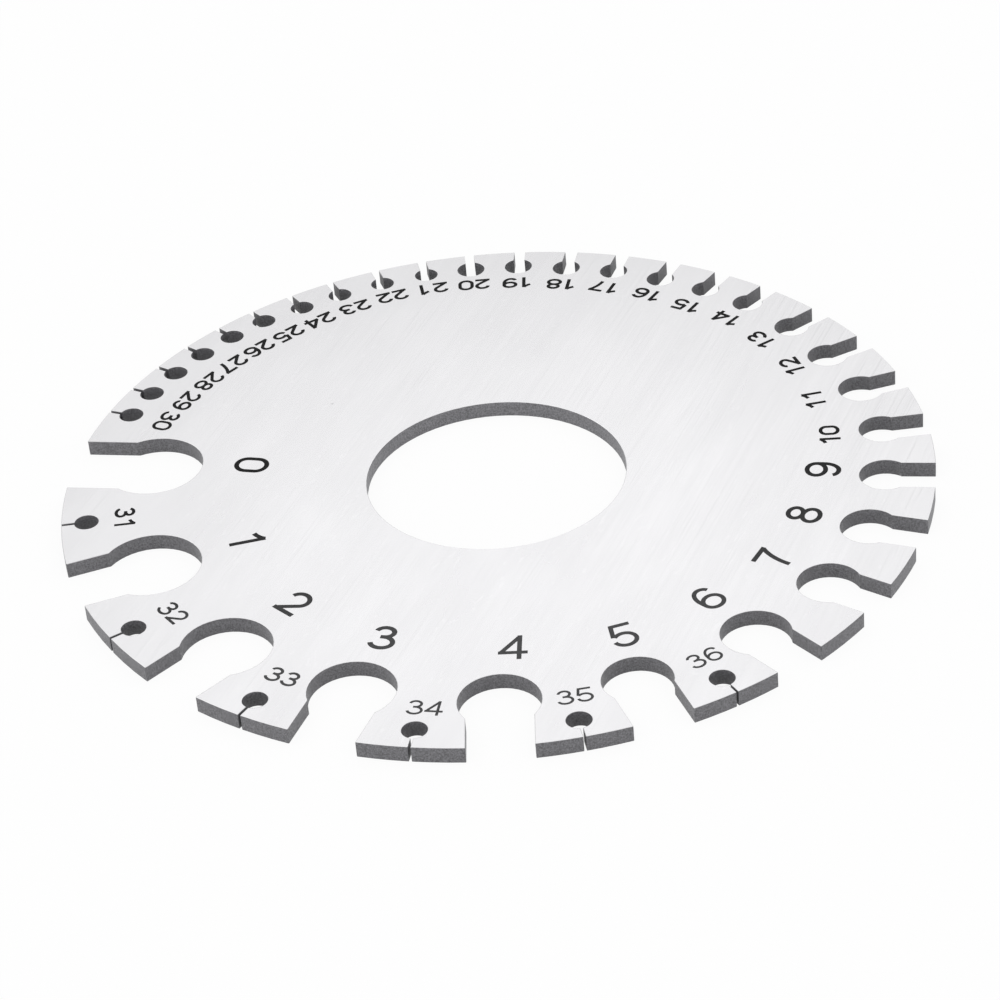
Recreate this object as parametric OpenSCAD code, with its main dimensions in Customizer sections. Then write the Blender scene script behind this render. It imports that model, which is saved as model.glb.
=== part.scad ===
// Round gauge plate: one flat steel disc with a centre hole and a ring of keyhole slots.
// Each slot is as wide as one sheet gauge is thick, and ends in a round relief hole.
// The plate lies flat with its underside on Z = 0, centred on its hole. Lengths are in millimetres.

/* [Plate] */
// Outside diameter of the plate
plate_d = 83; // [76:0.5:100]
// Thickness of the sheet
plate_t = 1.6; // [0.8:0.1:4]
// Diameter of the centre hole
bore_d = 24.8; // [10:0.1:45]

/* [Slots] */
// Direction of the gauge 0 slot, counter-clockwise from +X
first_slot_angle = 180; // [0:1:359]
// Extra width that each slot has over its gauge
slot_clearance = 0.02; // [0:0.01:0.1]
// Place of a fine slot between its two neighbours, as a share of the step
fine_slot_share = 0.505; // [0.45:0.005:0.55]

/* [Hidden] */

// Facets of a circle in the preview
$fn = 96;
// Overrun of each cut past the metal that it removes
overrun = 1;

// The gauge is defined by the weight of a sheet in ounces per square foot.
// Gauges 0 to 30, whose slots follow one another round the rim
coarse_oz = [200, 180, 170, 160, 150, 140, 130, 120, 110, 100, 90, 80, 70, 60, 50, 45, 40, 36, 32, 28,
             24, 22, 20, 18, 16, 14, 12, 11, 10, 9, 8];
// Gauges 31 to 36, whose slots sit between those of the coarsest gauges
fine_oz = [7, 6.5, 6, 5.5, 5, 4.5];
sheet_oz = concat(coarse_oz, fine_oz);
// Sheet that weighs one ounce per square foot is 1/640 inch thick
mm_per_oz = 25.4 / 640;

// The tables below hold runs: [first gauge, value], and a value holds until the next run starts.
// Angle from a slot to the next one, for the coarse gauges
slot_steps = [[0, 28.4], [1, 26.1], [2, 22.8], [3, 21.8], [4, 19.8], [5, 19.4], [6, 15.4], [7, 14.8],
              [8, 13.3], [9, 12.1], [10, 11.5], [11, 10.8], [12, 10.1], [13, 10], [14, 7.9], [17, 7.6],
              [19, 7.4], [20, 7], [23, 6.5], [25, 6.06]];
// Drill for the relief hole at the end of a slot
relief_drills = [[0, 9.5], [2, 8.5], [3, 8], [4, 7.4], [5, 6.4], [7, 5.9], [8, 5.4], [9, 4.9], [10, 4.4],
                 [12, 3.9], [13, 3.4], [14, 3], [15, 2.8], [21, 2.35], [31, 2.3]];
// Distance from the rim to the centre of the relief hole
relief_setbacks = [[0, 7.9], [1, 7.4], [2, 6.8], [4, 6.4], [5, 6], [6, 5.6], [7, 5], [9, 4.7], [10, 4.4],
                   [11, 4.3], [12, 4.4], [13, 3.9], [14, 3.4], [17, 3.2], [19, 2.9], [21, 2.8], [25, 2.4]];

function last(list) = list[len(list) - 1];
function at_gauge(runs, gauge) = last([for (run = runs) if (run[0] <= gauge) run[1]]);
function slot_w(gauge) = sheet_oz[gauge] * mm_per_oz + slot_clearance;
function coarse_angle(gauge) =
    gauge == 0 ? first_slot_angle : coarse_angle(gauge - 1) + at_gauge(slot_steps, gauge - 1);
function between_angle(gauge) = coarse_angle(gauge) + fine_slot_share * at_gauge(slot_steps, gauge);
function slot_angle(gauge) =
    gauge < len(coarse_oz) ? coarse_angle(gauge) : between_angle(gauge - len(coarse_oz));

// Outline of one keyhole slot, open at the rim
module slot_outline(gauge) {
    setback = at_gauge(relief_setbacks, gauge);
    rotate(slot_angle(gauge))
        translate([plate_d / 2 - setback, 0]) {
            circle(d = at_gauge(relief_drills, gauge));
            translate([0, -slot_w(gauge) / 2])
                square([setback + overrun, slot_w(gauge)]);
        }
}

// The whole plate, cut from one sheet
module plate() {
    color("gainsboro")
        linear_extrude(plate_t)
            difference() {
                circle(d = plate_d);
                circle(d = bore_d);
                for (gauge = [0 : len(sheet_oz) - 1])
                    slot_outline(gauge);
            }
}

plate();
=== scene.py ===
"""The looks of a round steel gauge plate: brushed faces, grey matt cut walls and dark marked numbers."""

import math

import bpy
from mathutils import Matrix, Vector
from mathutils.geometry import delaunay_2d_cdt


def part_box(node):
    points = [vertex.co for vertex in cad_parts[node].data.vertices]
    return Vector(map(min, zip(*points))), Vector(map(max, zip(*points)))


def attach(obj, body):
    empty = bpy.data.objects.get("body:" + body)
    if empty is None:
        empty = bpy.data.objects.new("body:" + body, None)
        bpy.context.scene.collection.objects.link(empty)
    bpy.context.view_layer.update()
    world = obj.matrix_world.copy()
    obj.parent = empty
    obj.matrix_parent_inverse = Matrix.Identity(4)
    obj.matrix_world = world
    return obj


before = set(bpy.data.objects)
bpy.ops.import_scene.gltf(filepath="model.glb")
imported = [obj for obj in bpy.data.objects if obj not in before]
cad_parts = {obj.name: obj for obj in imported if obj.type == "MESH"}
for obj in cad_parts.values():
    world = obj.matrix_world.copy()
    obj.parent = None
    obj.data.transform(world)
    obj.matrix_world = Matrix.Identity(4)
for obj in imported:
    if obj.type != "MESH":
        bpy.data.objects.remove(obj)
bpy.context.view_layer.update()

# Lengths are in metres, and angles in degrees, unless a comment says otherwise.
MM = 0.001
UP = (0, 0, 1)
BLACK = (0.0, 0.0, 0.0)
WHITE = (1.0, 1.0, 1.0)

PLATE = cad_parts["plate"]
TOP_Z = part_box("plate")[1].z
RIM_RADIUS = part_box("plate")[1].x
# How far the corners of the plate's mesh lie from its axis
CORNER_RADII = [v.co.xy.length for v in PLATE.data.vertices]
# Radii just past the wall of the bore, and just short of the rim
PAST_BORE = min(CORNER_RADII) + 1 * MM
SHORT_OF_RIM = max(CORNER_RADII) - 0.1 * MM


# The shapes of the digits

# Degrees between two points of an arc, and the number of steps along a bend
ARC_STEP = 9
BEND_STEPS = 10
# The ends of a stroke that lie closer than this share of the digit's height are one point.
SAME_POINT = 1e-6


def arc(x, y, rx, ry, start, end):
    """Points along an elliptical arc, from one angle to another."""
    count = max(2, round(abs(end - start) / ARC_STEP))
    angles = [math.radians(start + (end - start) * i / count) for i in range(count + 1)]
    return [(x + rx * math.cos(a), y + ry * math.sin(a)) for a in angles]


def bend(first, towards, end):
    """Points along a curve that leaves the first point towards the second and ends at the third."""
    points = []
    for i in range(BEND_STEPS + 1):
        t = i / BEND_STEPS
        weights = ((1 - t) ** 2, 2 * t * (1 - t), t * t)
        x = sum(w * p[0] for w, p in zip(weights, (first, towards, end)))
        y = sum(w * p[1] for w, p in zip(weights, (first, towards, end)))
        points.append((x, y))
    return points


def turned(strokes):
    """The same strokes after half a turn about the digit's middle."""
    return [[(-x, 1 - y) for x, y in stroke] for stroke in strokes]


def digit_strokes(stroke_width):
    """The centre lines of the digits 0 to 9, in shares of their height, with x = 0 in the middle."""
    low, high = stroke_width / 2, 1 - stroke_width / 2
    half_width = 0.285
    shoulder = 0.63
    zero = [
        arc(0, shoulder, half_width, high - shoulder, 0, 180)
        + arc(0, 1 - shoulder, half_width, high - shoulder, 180, 360)
        + [(half_width, shoulder)]
    ]
    stem = 0.115
    one = [[(stem, 0), (stem, 1)], bend((-0.19, 0.735), (0.02, 0.82), (stem, 0.985))]
    crown = 0.665
    two = [
        arc(0, crown, 0.27, high - crown, 172, -48) + [(-0.27, low)],
        [(-0.345, low), (0.34, low)],
    ]
    waist = 0.535
    upper_y, upper_ry = (high + waist) / 2, (high - waist) / 2
    lower_y, lower_ry = (waist + low) / 2, (waist - low) / 2
    three = [
        arc(-0.01, upper_y, 0.23, upper_ry, 168, -90) + [(-0.09, waist)],
        arc(0, lower_y, half_width, lower_ry, 90, -170),
    ]
    post = 0.15
    bar = 0.285
    four = [
        [(post, 0), (post, 1)],
        [(post, 0.95), (-0.31, 0.29)],
        [(-0.375, bar), (0.36, bar)],
    ]
    bowl_y = 0.32
    bowl_ry = bowl_y - low
    five = [
        [(-0.235, high), (0.29, high)],
        [(-0.185, 0.97), (-0.265, 0.47)],
        arc(0, bowl_y, half_width, bowl_ry, 146, -168),
    ]
    six = [
        arc(0.01, bowl_y, 0.275, bowl_ry, 0, 360),
        [(-0.265, bowl_y)]
        + arc(0.03, 0.5, 0.295, high - 0.5, 180, 90)
        + arc(0.03, 0.73, 0.235, high - 0.73, 84, 12),
    ]
    seven = [[(-0.33, high), (0.335, high)], bend((0.285, 0.93), (-0.02, 0.56), (-0.075, 0))]
    eight = [arc(0, upper_y, 0.235, upper_ry, 0, 360), arc(0, lower_y, 0.28, lower_ry, 0, 360)]
    nine = turned(six)
    return [zero, one, two, three, four, five, six, seven, eight, nine]


def ribbon(points, width, stretch):
    """Quads along a stroke's centre line, with its width across it."""
    line = [Vector((x * stretch, y)) for x, y in points]
    closed = (line[0] - line[-1]).length < SAME_POINT
    last = len(line) - 1
    rails = []
    for i, point in enumerate(line):
        before = line[i - 1] if i else (line[last - 1] if closed else None)
        after = line[i + 1] if i < last else (line[1] if closed else None)
        ways = [(b - a).normalized() for a, b in ((before, point), (point, after)) if a and b]
        way = sum(ways, Vector((0, 0))).normalized()
        side = Vector((-way.y, way.x)) * (width / 2 / way.dot(ways[0]))
        rails.append((point - side, point + side))
    return [[rails[i][0], rails[i + 1][0], rails[i + 1][1], rails[i][1]] for i in range(last)]


# The numbers on the plate

# Round the rim from the slot of gauge 0, the finest gauges sit between the coarsest.
GAUGES_ROUND_RIM = [0, 31, 1, 32, 2, 33, 3, 34, 4, 35, 5, 36, *range(6, 31)]
# A direction in the metal just before that slot, and the least metal between two slots, in radians
RIM_START = math.radians(170)
SLOT_PARTING = math.radians(2.2)

# How each number sits by the end of its slot. A value holds until the next gauge that its table names.
# Millimetres from the relief hole to the number's middle
NUMBER_GAPS = {
    0: 4.85, 1: 4.55, 2: 4.1, 3: 3.7, 5: 3.2, 6: 3.5, 7: 3.35, 8: 3.6, 9: 3.4, 10: 2.85, 11: 2.7,
    12: 2.0, 13: 2.1, 15: 2.3, 16: 1.95, 20: 1.8, 23: 2.05, 24: 2.3, 25: 2.8, 28: 2.9, 30: 2.75,
    31: 2.5, 32: 2.8, 33: 2.65, 34: 1.9, 35: 2.15,
}
# Millimetres counter-clockwise from the slot's centre line
NUMBER_SHIFTS = {
    0: -0.5, 1: 0, 2: 0.1, 3: -0.25, 4: 1.3, 5: 1.25, 6: 0.45, 7: 0.8, 8: 0.4, 9: 0.85, 10: -0.1,
    12: 0.15, 14: -0.3, 15: -0.15, 22: -0.25, 23: -0.4, 24: -0.25, 25: -0.4, 26: -0.3,
    29: -0.05, 30: 0.1, 31: 0, 32: 0.2, 33: 0.25, 34: 0.3,
}
# How far the number leans to the left of upright
NUMBER_LEANS = {
    0: -3, 1: -7, 2: -1, 3: 7, 4: -5, 6: 5, 8: -3, 9: -2, 10: -6, 12: -8, 13: -4, 14: 2, 16: -5,
    18: 1, 19: 3, 20: -2, 22: 0, 24: 3, 26: 0, 27: -2, 31: -1, 32: 3, 33: 1, 34: 0, 35: -2, 36: 0,
}
# The width of a stroke, as a share of the number's height
NUMBER_STROKES = {0: 0.14, 4: 0.125, 7: 0.136, 10: 0.18, 28: 0.168, 31: 0.165, 32: 0.145, 34: 0.126}
# The height of a number, and in shares of it the step to the next digit and the stretch across
NUMBER_STYLES = {
    0: {"height": 3.45 * MM, "pitch": 0.81, "stretch": 1.04},
    10: {"height": 2.0 * MM, "pitch": 0.86, "stretch": 1.1},
}

# The marks are thin slabs let into the face, a hair proud of it.
MARK_PROUD = 0.005 * MM
MARK_DEPTH = 0.03 * MM
# The strokes of a number are joined into triangles, of which only those inside the strokes are asked for.
# Corners this few millimetres apart are one.
TRIANGLES_INSIDE = 1
SAME_CORNER = 1e-5


def slot_ends():
    """The direction of each gauge's slot in radians, and the radius that its relief hole reaches in to."""
    corners = [v.co.xy for v in PLATE.data.vertices if PAST_BORE < v.co.xy.length < SHORT_OF_RIM]
    spots = sorted(((math.atan2(c.y, c.x) - RIM_START) % math.tau, c.length) for c in corners)
    slots = [[spots[0]]]
    for spot in spots[1:]:
        if spot[0] - slots[-1][-1][0] > SLOT_PARTING:
            slots.append([])
        slots[-1].append(spot)
    directions = [RIM_START + (slot[0][0] + slot[-1][0]) / 2 for slot in slots]
    reaches = [min(radius for _, radius in slot) for slot in slots]
    return dict(zip(GAUGES_ROUND_RIM, zip(directions, reaches), strict=True))


def at_gauge(runs, gauge):
    """The value of the last run that starts at or before a gauge."""
    return runs[max(start for start in runs if start <= gauge)]


def number_quads(gauge, slot_end):
    """The quads of a gauge's digits on the plate's face, with their feet towards the rim."""
    style = at_gauge(NUMBER_STYLES, gauge)
    stroke_width = at_gauge(NUMBER_STROKES, gauge)
    strokes = digit_strokes(stroke_width)
    direction, reach = slot_end
    radius = reach - at_gauge(NUMBER_GAPS, gauge) * MM
    angle = direction + at_gauge(NUMBER_SHIFTS, gauge) * MM / radius
    middle = Vector((math.cos(angle), math.sin(angle))) * radius
    turn = Matrix.Rotation(angle + math.pi / 2 + math.radians(at_gauge(NUMBER_LEANS, gauge)), 2)
    half_height = 0.5
    text = str(gauge)
    quads = []
    for i, digit in enumerate(text):
        shift = Vector(((i - (len(text) - 1) / 2) * style["pitch"], -half_height))
        for stroke in strokes[int(digit)]:
            for quad in ribbon(stroke, stroke_width, style["stretch"]):
                quads.append([middle + turn @ ((corner + shift) * style["height"]) for corner in quad])
    return quads


def joined(quads):
    """The corners and the triangles of quads that overlap, joined into one flat shape."""
    corners = [corner / MM for quad in quads for corner in quad]
    faces = [list(range(4 * i, 4 * i + 4)) for i in range(len(quads))]
    result = delaunay_2d_cdt(corners, [], faces, TRIANGLES_INSIDE, SAME_CORNER)
    points, _, triangles, _, _, sources = result
    kept = [triangle for triangle, source in zip(triangles, sources) if source]
    used = sorted({i for triangle in kept for i in triangle})
    number = {old: new for new, old in enumerate(used)}
    places = [(points[i].x * MM, points[i].y * MM) for i in used]
    return places, [[number[i] for i in triangle] for triangle in kept]


def slab_faces(triangles, foot):
    """The faces of a closed slab under some triangles, with each corner's foot so many corners later."""
    sides = [(triangle[i - 1], triangle[i]) for triangle in triangles for i in range(3)]
    known = set(sides)
    walls = [[b, a, a + foot, b + foot] for a, b in sides if (b, a) not in known]
    undersides = [[i + foot for i in reversed(triangle)] for triangle in triangles]
    return triangles + undersides + walls


def marks_mesh():
    """All the numbers as thin closed slabs let into the top face."""
    top = TOP_Z + MARK_PROUD
    corners = []
    faces = []
    for gauge, slot_end in slot_ends().items():
        places, triangles = joined(number_quads(gauge, slot_end))
        first = len(corners)
        for height in (top, top - MARK_DEPTH):
            corners += [(x, y, height) for x, y in places]
        faces += [[first + i for i in face] for face in slab_faces(triangles, len(places))]
    mesh = bpy.data.meshes.new("gauge_numbers")
    mesh.from_pydata(corners, [], faces)
    return mesh


# Helpers for the node trees of the materials and the world

# Where a Mix node has its factor and its two values among its inputs, and its result among its outputs
MIX_NUMBERS_IN = (0, 2, 3)
MIX_NUMBERS_OUT = 0
MIX_COLOURS_IN = (0, 6, 7)
MIX_COLOURS_OUT = 2
# How strong each finer step of the noise is, as a share of the one before
NOISE_ROUGHNESS = 0.6


def new_material(name):
    """A material, its node tree and its shader."""
    material = bpy.data.materials.new(name)
    material.use_nodes = True
    tree = material.node_tree
    return material, tree, tree.nodes["Principled BSDF"]


def node(tree, kind, **settings):
    """A new node of some kind, with its settings."""
    made = tree.nodes.new(kind)
    for name, value in settings.items():
        setattr(made, name, value)
    return made


def feed(tree, socket, value):
    """Sets a socket to a number or a colour, or links it to another node's output."""
    if isinstance(value, bpy.types.NodeSocket):
        tree.links.new(value, socket)
    elif isinstance(value, tuple):
        socket.default_value = (*value, 1)
    else:
        socket.default_value = value


def math_node(tree, operation, *values):
    """The result of a mathematical operation on one or two values."""
    made = node(tree, "ShaderNodeMath", operation=operation)
    for socket, value in zip(made.inputs, values):
        feed(tree, socket, value)
    return made.outputs[0]


def mix_numbers(tree, factor, first, second):
    """A number that goes from the first to the second as the factor goes from 0 to 1."""
    made = node(tree, "ShaderNodeMix", data_type="FLOAT")
    for index, value in zip(MIX_NUMBERS_IN, (factor, first, second)):
        feed(tree, made.inputs[index], value)
    return made.outputs[MIX_NUMBERS_OUT]


def mix_colours(tree, factor, first, second, blend="MIX"):
    """A colour that goes from the first to its blend with the second as the factor goes from 0 to 1."""
    made = node(tree, "ShaderNodeMix", data_type="RGBA", blend_type=blend)
    for index, value in zip(MIX_COLOURS_IN, (factor, first, second)):
        feed(tree, made.inputs[index], value)
    return made.outputs[MIX_COLOURS_OUT]


def in_range(tree, value, limits, results=(0.0, 1.0), easing="LINEAR"):
    """A number from one result to the other, and no further, as a value goes from one limit to the other."""
    made = node(tree, "ShaderNodeMapRange", interpolation_type=easing, clamp=True)
    settings = {
        "Value": value,
        "From Min": limits[0],
        "From Max": limits[1],
        "To Min": results[0],
        "To Max": results[1],
    }
    for name, setting in settings.items():
        feed(tree, made.inputs[name], setting)
    return made.outputs["Result"]


def place_on_piece(tree):
    """The place of a point on its piece, from the piece's origin in the middle of the plate's underside."""
    return node(tree, "ShaderNodeTexCoord").outputs["Object"]


def along(tree, place, way):
    """How far a place lies along a fixed direction."""
    made = node(tree, "ShaderNodeVectorMath", operation="DOT_PRODUCT")
    feed(tree, made.inputs[0], place)
    made.inputs[1].default_value = way
    return made.outputs["Value"]


def across(tree, place, degrees):
    """How far a place lies across the plate from its middle, in a direction counter-clockwise from +X."""
    angle = math.radians(degrees)
    return along(tree, place, (math.cos(angle), math.sin(angle), 0))


def from_centre(tree, place):
    """How far a place lies from the middle of the plate's underside."""
    made = node(tree, "ShaderNodeVectorMath", operation="LENGTH")
    feed(tree, made.inputs[0], place)
    return made.outputs["Value"]


def noise(tree, place, width, detail):
    """Soft noise with grains of about some width, and some steps of finer detail in them."""
    made = node(tree, "ShaderNodeTexNoise")
    feed(tree, made.inputs["Vector"], place)
    made.inputs["Scale"].default_value = 1 / width
    made.inputs["Detail"].default_value = detail
    made.inputs["Roughness"].default_value = NOISE_ROUGHNESS
    return made.outputs["Fac"]


# The steel of the plate

FACE_LIGHT = (0.9145, 0.91, 0.9245)
FACE_DARK = (0.8615, 0.857, 0.8715)
FACE_SCRATCHED = (0.8, 0.796, 0.809)
FACE_BRIGHT = (0.935, 0.93, 0.944)
FACE_SPECK = (0.62, 0.62, 0.63)
WALL_LIGHT = (0.2395, 0.237, 0.252)
WALL_DARK = (0.085, 0.0842, 0.0895)

# The lines of the brushing, counter-clockwise from +X
BRUSH_ANGLE = 77
# Noise along the brushing: the width of a grain, its length in widths, and the steps of finer detail
STREAKS = (0.4 * MM, 40, 1)
CLOUDS = (5 * MM, 3, 3)
SCRATCHES = (0.22 * MM, 45, 0)
SCRATCH_PATCHES = (6 * MM, 2, 1)
FLECKS = (0.35 * MM, 2.5, 0)
# Even noise: the width of a grain, and the steps of finer detail
SPECK_PATCHES = (14 * MM, 1)
WALL_GRAIN = (0.15 * MM, 3)
# Noise goes from 0 to 1, with most of it about its middle.
NOISE_MIDDLE = 0.5
NOISE_SPREAD = (0.33, 0.67)

# The clouds' share in the shading of a face; the rest is streaks.
CLOUD_SHARE = 0.7
# The way across the plate in which the streaks grow from faint to full, and from where to where
STREAK_ANGLE = 30
STREAK_REACH = (-29 * MM, 10 * MM)
STREAK_STRENGTHS = (0.33, 1.0)
# Scratches lie where their noise is far from its middle. They are stronger in patches.
SCRATCH_DARK_LIMITS = (0.62, 0.74)
SCRATCH_BRIGHT_LIMITS = (0.38, 0.26)
SCRATCH_PATCH_LIMITS = (0.47, 0.6)
SCRATCH_STRENGTHS = (0.08, 0.22)
# The way across the plate in which the scratches grow rough towards the rim, and from where to where
ROUGH_ANGLE = 25
ROUGH_REACH = (28 * MM, 37 * MM)
ROUGH_STRENGTHS = (0.0, 0.5)
# Flecks lie where their noise is high.
FLECK_LIMITS = (0.72, 0.8)
FLECK_STRENGTHS = (0.0, 0.45)
# Specks are strewn in patches. Their edge, from outside to inside, is in shares of their spacing.
SPECK_SPACING = 7 * MM
SPECK_EDGE = (0.04, 0.015)
SPECK_PATCH_LIMITS = (0.5, 0.56)
# Painted shade: towards the rim a face darkens to this share of its lightness.
RIM_SHADE_REACH = (18 * MM, RIM_RADIUS)
RIM_SHADE_SHARE = 0.94
# A face is roughest in its dark clouds.
CLOUD_LIMITS = (0.35, 0.65)
FACE_ROUGHNESS = (0.275, 0.255)

# The bore's walls are this many times as light as the other cuts.
BORE_LIGHTNESS = 1.2
# Painted shade: where only metal faces it, as in a narrow cut, a wall's colour is darkened and keeps these
# shares of its lightness at these heights.
# Metal within this reach counts, and this many rays look for it.
CUT_SHADE_HEIGHTS = (0.25 * TOP_Z, TOP_Z)
CUT_SHADE_SHARES = (0.0, 0.8)
CUT_SHADE_REACH = 10 * MM
CUT_SHADE_SAMPLES = 4
WALL_ROUGHNESS = 0.48
# The relief of a wall's grain
GRAIN_STRENGTH = 0.06
GRAIN_DEPTH = 0.01 * MM
# A surface counts as wall up to the first of these and as face from the second: how much of its normal
# points up or down.
FLAT_LIMITS = (0.25, 0.45)

# A fine break along the edges that turn by more than an angle. The plate's corners are joined first.
JOIN_DISTANCE = 0.001 * MM
EDGE_BREAK = 0.06 * MM
EDGE_SEGMENTS = 2
EDGE_ANGLE = 40


def brushed(tree, place, kind):
    """Noise drawn out along the lines of the brushing."""
    width, lengths, detail = kind
    drawn = node(tree, "ShaderNodeMapping", vector_type="TEXTURE")
    feed(tree, drawn.inputs["Vector"], place)
    drawn.inputs["Rotation"].default_value = (0, 0, math.radians(BRUSH_ANGLE))
    drawn.inputs["Scale"].default_value = (lengths, 1, 1)
    return noise(tree, drawn.outputs["Vector"], width, detail)


def shaded(tree, place, clouds):
    """A face's colour with its streaks and clouds along the brushing."""
    strength = in_range(tree, across(tree, place, STREAK_ANGLE), STREAK_REACH, STREAK_STRENGTHS)
    streaks = mix_numbers(tree, strength, NOISE_MIDDLE, brushed(tree, place, STREAKS))
    shade = in_range(tree, mix_numbers(tree, CLOUD_SHARE, streaks, clouds), NOISE_SPREAD)
    return mix_colours(tree, shade, FACE_DARK, FACE_LIGHT)


def scratched(tree, place, face):
    """A face's colour with fine scratches, strongest in patches and by the rim, and a few bright flecks."""
    lines = brushed(tree, place, SCRATCHES)
    patches = brushed(tree, place, SCRATCH_PATCHES)
    patchy = in_range(tree, patches, SCRATCH_PATCH_LIMITS, SCRATCH_STRENGTHS)
    rough = in_range(tree, across(tree, place, ROUGH_ANGLE), ROUGH_REACH, ROUGH_STRENGTHS)
    strength = math_node(tree, "MAXIMUM", patchy, rough)
    dark = math_node(tree, "MULTIPLY", in_range(tree, lines, SCRATCH_DARK_LIMITS), strength)
    bright = math_node(tree, "MULTIPLY", in_range(tree, lines, SCRATCH_BRIGHT_LIMITS), strength)
    flecks = in_range(tree, brushed(tree, place, FLECKS), FLECK_LIMITS, FLECK_STRENGTHS)
    face = mix_colours(tree, dark, face, FACE_SCRATCHED)
    return mix_colours(tree, math_node(tree, "MAXIMUM", bright, flecks), face, FACE_BRIGHT)


def specked(tree, place, face):
    """A face's colour with a few strewn dark specks."""
    spots = node(tree, "ShaderNodeTexVoronoi")
    feed(tree, spots.inputs["Vector"], place)
    spots.inputs["Scale"].default_value = 1 / SPECK_SPACING
    strewn = in_range(tree, noise(tree, place, *SPECK_PATCHES), SPECK_PATCH_LIMITS)
    specks = math_node(tree, "MULTIPLY", in_range(tree, spots.outputs["Distance"], SPECK_EDGE), strewn)
    return mix_colours(tree, specks, face, FACE_SPECK)


def brushed_face(tree, place, clouds):
    """The colour of a flat face, with painted shade that darkens it towards the rim."""
    face = specked(tree, place, scratched(tree, place, shaded(tree, place, clouds)))
    # Painted shade: the face grows darker towards the rim.
    rim_shade = in_range(tree, from_centre(tree, place), RIM_SHADE_REACH)
    return mix_colours(tree, rim_shade, face, (RIM_SHADE_SHARE,) * 3, "MULTIPLY")


def cut_wall(tree, place, grain):
    """The colour of a cut wall: a fine grain, lighter in the bore, and darkened by painted shade where the
    cut is narrow.
    """
    wall = mix_colours(tree, in_range(tree, grain, NOISE_SPREAD), WALL_DARK, WALL_LIGHT)
    in_bore = math_node(tree, "LESS_THAN", from_centre(tree, place), PAST_BORE)
    wall = mix_colours(tree, in_bore, wall, (BORE_LIGHTNESS,) * 3, "MULTIPLY")
    # Painted shade: the wall darkens where the plate's own metal closes round it, most near the bottom.
    openness = node(tree, "ShaderNodeAmbientOcclusion", only_local=True, samples=CUT_SHADE_SAMPLES)
    openness.inputs["Distance"].default_value = CUT_SHADE_REACH
    least = in_range(tree, along(tree, place, UP), CUT_SHADE_HEIGHTS, CUT_SHADE_SHARES)
    kept = mix_numbers(tree, openness.outputs["AO"], least, 1.0)
    return mix_colours(tree, kept, BLACK, wall)


def plate_steel():
    """Brushed steel on the flat faces, and the grey matt surface of the cut on the walls."""
    material, tree, shader = new_material("plate_steel")
    place = place_on_piece(tree)
    clouds = brushed(tree, place, CLOUDS)
    grain = noise(tree, place, *WALL_GRAIN)
    normal = node(tree, "ShaderNodeNewGeometry").outputs["Normal"]
    flat = in_range(tree, math_node(tree, "ABSOLUTE", along(tree, normal, UP)), FLAT_LIMITS)
    colour = mix_colours(tree, flat, cut_wall(tree, place, grain), brushed_face(tree, place, clouds))
    face_roughness = in_range(tree, clouds, CLOUD_LIMITS, FACE_ROUGHNESS)
    feed(tree, shader.inputs["Base Color"], colour)
    feed(tree, shader.inputs["Metallic"], flat)
    feed(tree, shader.inputs["Roughness"], mix_numbers(tree, flat, WALL_ROUGHNESS, face_roughness))
    bump = node(tree, "ShaderNodeBump")
    bump.inputs["Strength"].default_value = GRAIN_STRENGTH
    bump.inputs["Distance"].default_value = GRAIN_DEPTH
    feed(tree, bump.inputs["Height"], mix_numbers(tree, flat, grain, NOISE_MIDDLE))
    feed(tree, shader.inputs["Normal"], bump.outputs["Normal"])
    return material


def dress_plate():
    """Gives the plate its steel and a fine break along its sharp edges."""
    PLATE.material_slots[0].material = plate_steel()
    weld = PLATE.modifiers.new("joined", "WELD")
    weld.merge_threshold = JOIN_DISTANCE
    edge = PLATE.modifiers.new("edge_break", "BEVEL")
    edge.width = EDGE_BREAK
    edge.segments = EDGE_SEGMENTS
    edge.limit_method = "ANGLE"
    edge.angle_limit = math.radians(EDGE_ANGLE)
    edge.use_clamp_overlap = False
    smooth = PLATE.modifiers.new("even_shading", "WEIGHTED_NORMAL")
    smooth.keep_sharp = True


# The dark of the marks

INK_DARK = (0.008, 0.008, 0.0084)
# The paler ink of the worn patches and of the painted sheen towards the front
INK_WORN_AND_SHEEN = (0.072, 0.072, 0.074)
INK_ROUGHNESS = 0.6
INK_SPECULAR = 0.1
# Patches of wear, as even noise, and how worn they are from the noise's one limit to the other
INK_PATCHES = (0.3 * MM, 3)
INK_PATCH_LIMITS = (0.2, 0.6)
INK_PATCH_WEAR = (0.6, 1.0)
# Painted sheen: the way across the plate in which the marks grow paler, and from where to where
SHEEN_ANGLE = -78
SHEEN_REACH = (0 * MM, 26 * MM)


def mark_black():
    """The dark matt of a number burnt into the steel, patchy, with a painted sheen that pales it towards the
    plate's front.
    """
    material, tree, shader = new_material("mark_black")
    place = place_on_piece(tree)
    patches = in_range(tree, noise(tree, place, *INK_PATCHES), INK_PATCH_LIMITS, INK_PATCH_WEAR)
    # Painted sheen: the marks pale towards the plate's front, and the patches are real wear.
    front = in_range(tree, across(tree, place, SHEEN_ANGLE), SHEEN_REACH)
    wear_and_sheen = math_node(tree, "MULTIPLY", front, patches)
    feed(tree, shader.inputs["Base Color"], mix_colours(tree, wear_and_sheen, INK_DARK, INK_WORN_AND_SHEEN))
    shader.inputs["Roughness"].default_value = INK_ROUGHNESS
    shader.inputs["Specular IOR Level"].default_value = INK_SPECULAR
    return material


def add_numbers():
    """Adds all the numbers as one piece, which goes where the plate goes."""
    piece = bpy.data.objects.new("gauge_numbers", marks_mesh())
    bpy.context.scene.collection.objects.link(piece)
    piece.data.materials.append(mark_black())
    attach(piece, "root")


# The floor

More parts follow.
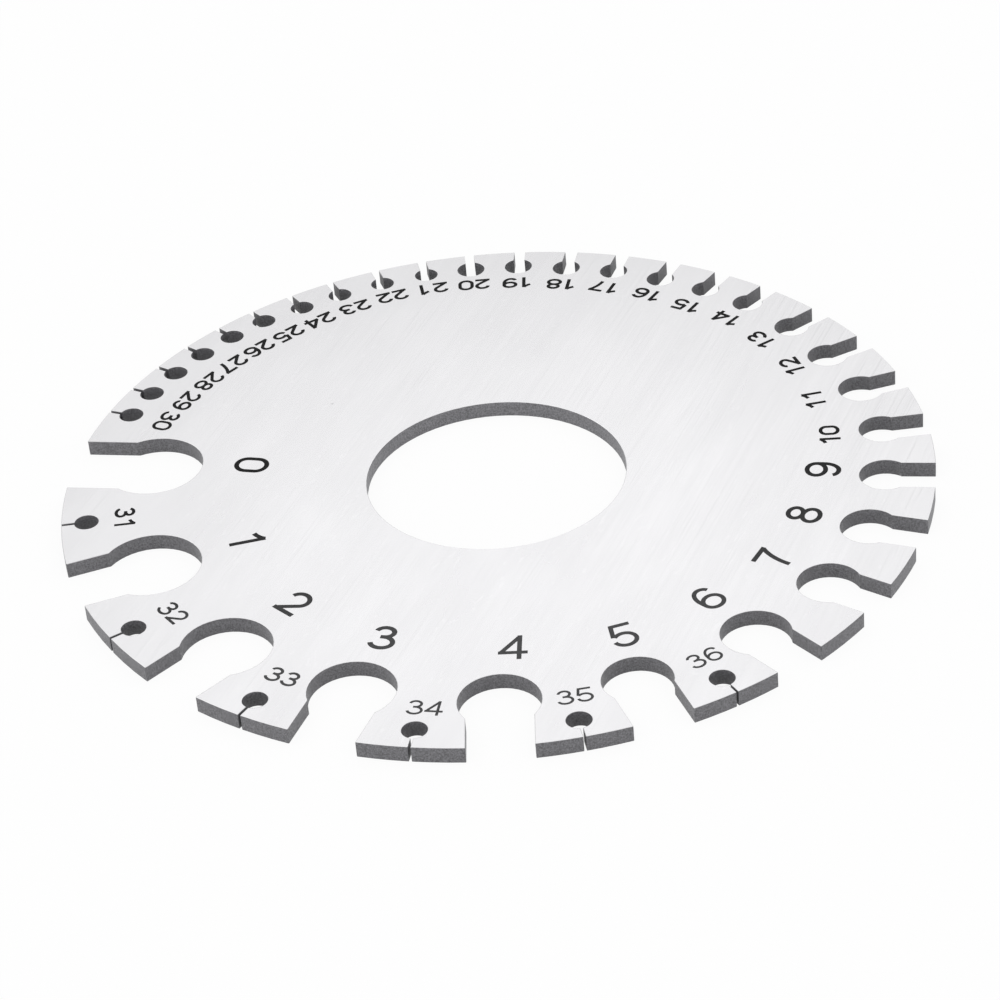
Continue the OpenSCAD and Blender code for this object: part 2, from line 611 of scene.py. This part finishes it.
FLOOR_SIZE = 3.0
FLOOR_DROP = 0.01 * MM
FLOOR_COLOUR = (0.9, 0.9, 0.9)
FLOOR_ROUGHNESS = 0.9
# How much of the light and shadow on the floor shows; the rest of it is white.
SHADOW_SHARE = 0.07


def floor_white():
    """A floor that shows as white as paper, with a faint shadow left on it."""
    material, tree, shader = new_material("floor_white")
    feed(tree, shader.inputs["Base Color"], FLOOR_COLOUR)
    shader.inputs["Roughness"].default_value = FLOOR_ROUGHNESS
    glow = node(tree, "ShaderNodeEmission")
    rays = node(tree, "ShaderNodeLightPath").outputs
    seen = math_node(tree, "MAXIMUM", rays["Is Camera Ray"], rays["Is Glossy Ray"])
    seen = math_node(tree, "MAXIMUM", seen, rays["Is Transmission Ray"])
    both = node(tree, "ShaderNodeMixShader")
    feed(tree, both.inputs[0], math_node(tree, "MULTIPLY", seen, 1 - SHADOW_SHARE))
    feed(tree, both.inputs[1], shader.outputs[0])
    feed(tree, both.inputs[2], glow.outputs[0])
    feed(tree, tree.nodes["Material Output"].inputs["Surface"], both.outputs[0])
    return material


def add_floor():
    """Adds a wide plain floor just under the plate."""
    bpy.ops.mesh.primitive_plane_add(size=FLOOR_SIZE, location=(0, 0, -FLOOR_DROP))
    floor = bpy.context.object
    floor.name = "floor"
    floor.data.materials.append(floor_white())


# The studio's light

# The studio is white all round, brightest half way up and a little dimmer overhead and at the front.
# A limit is the part of a direction of length 1 that points up, or to the back.
RISE_LIMITS = (0.37, 0.69)
RISE_LEVELS = (0.73, 1.21)
OVERHEAD_LIMITS = (RISE_LIMITS[1], 0.9)
OVERHEAD_SHARES = (1.0, 0.8)
FRONT_LIMITS = (-0.7, 0.1)
FRONT_SHARES = (0.85, 1.0)
# How far its up leans to the right
STUDIO_LEAN = 5
BACK = (0, 1, 0)

# Two large soft lamps: where each stands, and its power in watts
LAMP_SIZE = 0.6
LEFT_LAMP = ((-0.45, -0.25, 0.2), 0.4)
RIGHT_LAMP = ((0.45, 0.2, 0.15), 0.08)


def light_world():
    """A white studio whose light comes from all round."""
    world = bpy.data.worlds.new("studio")
    bpy.context.scene.world = world
    world.use_nodes = True
    tree = world.node_tree
    way = node(tree, "ShaderNodeTexCoord").outputs["Generated"]
    lean = math.radians(STUDIO_LEAN)
    height = along(tree, way, (math.sin(lean), 0, math.cos(lean)))
    rise = in_range(tree, height, RISE_LIMITS, RISE_LEVELS, "SMOOTHSTEP")
    overhead = in_range(tree, height, OVERHEAD_LIMITS, OVERHEAD_SHARES, "SMOOTHSTEP")
    front = in_range(tree, along(tree, way, BACK), FRONT_LIMITS, FRONT_SHARES, "SMOOTHSTEP")
    level = math_node(tree, "MULTIPLY", math_node(tree, "MULTIPLY", rise, overhead), front)
    sky = tree.nodes["Background"]
    feed(tree, sky.inputs["Color"], WHITE)
    feed(tree, sky.inputs["Strength"], level)


def add_lamp(name, place, watts):
    """Adds a square soft lamp that faces the middle of the plate and leaves no reflection of itself."""
    data = bpy.data.lights.new(name, "AREA")
    data.size = LAMP_SIZE
    data.energy = watts
    lamp = bpy.data.objects.new(name, data)
    lamp.location = place
    lamp.rotation_euler = (-Vector(place)).to_track_quat("-Z", "Y").to_euler()
    lamp.visible_glossy = False
    bpy.context.scene.collection.objects.link(lamp)


# The camera, which looks down on the plate from the front

CAMERA_AZIMUTH = 11.58
CAMERA_ELEVATION = 34.35
CAMERA_ROLL = -5.28
CAMERA_DISTANCE = 308.2 * MM
CAMERA_AIM = (1.04 * MM, -4.46 * MM, TOP_Z)
CAMERA_CLIP = 10 * MM
# These two are in millimetres.
LENS_MM = 118.05
SENSOR_MM = 36.0


def add_camera():
    """Adds the camera and makes it the scene's."""
    azimuth = math.radians(CAMERA_AZIMUTH)
    elevation = math.radians(CAMERA_ELEVATION)
    back = Vector((
        math.sin(azimuth) * math.cos(elevation),
        -math.cos(azimuth) * math.cos(elevation),
        math.sin(elevation),
    ))
    data = bpy.data.cameras.new("camera")
    data.lens = LENS_MM
    data.sensor_width = SENSOR_MM
    data.clip_start = CAMERA_CLIP
    camera = bpy.data.objects.new("camera", data)
    level = (-back).to_track_quat("-Z", "Y").to_matrix()
    turn = level @ Matrix.Rotation(math.radians(CAMERA_ROLL), 3, "Z")
    camera.matrix_world = Matrix.Translation(Vector(CAMERA_AIM) + back * CAMERA_DISTANCE) @ turn.to_4x4()
    bpy.context.scene.collection.objects.link(camera)
    bpy.context.scene.camera = camera


dress_plate()
add_numbers()
add_floor()
light_world()
add_lamp("left_lamp", *LEFT_LAMP)
add_lamp("right_lamp", *RIGHT_LAMP)
add_camera()
bpy.context.scene.view_settings.view_transform = "Standard"
